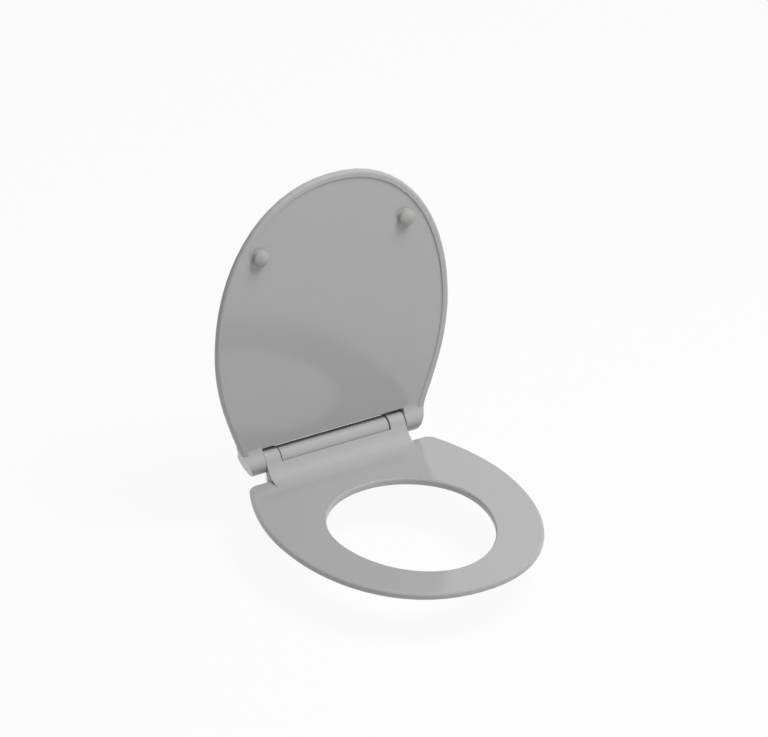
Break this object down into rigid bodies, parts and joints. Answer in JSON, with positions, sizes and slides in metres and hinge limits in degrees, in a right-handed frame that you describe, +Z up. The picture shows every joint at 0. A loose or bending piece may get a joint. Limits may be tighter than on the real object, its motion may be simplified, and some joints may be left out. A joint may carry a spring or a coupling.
{
  "type": "toilet seat",
  "caption": "Slim moulded toilet seat with an open ring and a lid on one soft-close hinge bar with release buttons",
  "frame": {"origin": "on the bowl's top face, midway between the two fixing pins, straight under the hinge axis", "axes": "+X to the right seen from the front, -Y to the front tip of the seat, +Z up"},
  "size_m": [0.3644, 0.4388, 0.5122],
  "materials": {
    "moulding": "hard thermoset moulding with a smooth glossy surface",
    "bar": "glossy moulded thermoplastic",
    "bush": "plain natural acetal",
    "damper": "plain natural plastic",
    "buffer": "soft satin elastomer",
    "steel": "plain stainless steel, turned or pressed",
    "gasket": "matt flat rubber",
    "cone": "matt dark rubber",
    "nut": "plain moulded nylon"
  },
  "bodies": {
    "root": {"hinge_bar": "bar", "damper_left": "damper", "damper_right": "damper", "fixing_pin_left": "steel", "fixing_pin_right": "steel", "base_plate_left": "steel", "base_plate_right": "steel", "gasket_left": "gasket", "gasket_right": "gasket", "cone_washer_left": "cone", "cone_washer_right": "cone", "flat_washer_left": "steel", "flat_washer_right": "steel", "wing_nut_left": "nut", "wing_nut_right": "nut"},
    "ring": {"seat_ring": "moulding", "ring_bush_left": "bush", "ring_bush_right": "bush", "ring_buffer_front_left": "buffer", "ring_buffer_front_right": "buffer", "ring_buffer_rear_left": "buffer", "ring_buffer_rear_right": "buffer", "shaft_right": "steel"},
    "lid": {"lid": "moulding", "lid_bush_left": "bush", "lid_bush_right": "bush", "lid_buffer_left": "buffer", "lid_buffer_right": "buffer", "shaft_left": "steel"},
    "button_left": {"release_button_left": "bar"},
    "button_right": {"release_button_right": "bar"}
  },
  "joints": [
    {"name": "ring_hinge", "type": "hinge", "parent": "root", "child": "ring", "pos_m": [0, 0, 0.0375], "axis": [-1, 0, 0], "range_deg": [0, 95]},
    {"name": "lid_hinge", "type": "hinge", "parent": "ring", "child": "lid", "pos_m": [0, 0, 0.0375], "axis": [-1, 0, 0], "range_deg": [-90, 8]},
    {"name": "left_release", "type": "slide", "parent": "root", "child": "button_left", "axis": [0, -1, 0], "range_m": [0, 0.003], "stiffness_N_per_m": 400},
    {"name": "right_release", "type": "slide", "parent": "root", "child": "button_right", "axis": [0, -1, 0], "range_m": [0, 0.003], "stiffness_N_per_m": 400}
  ]
}
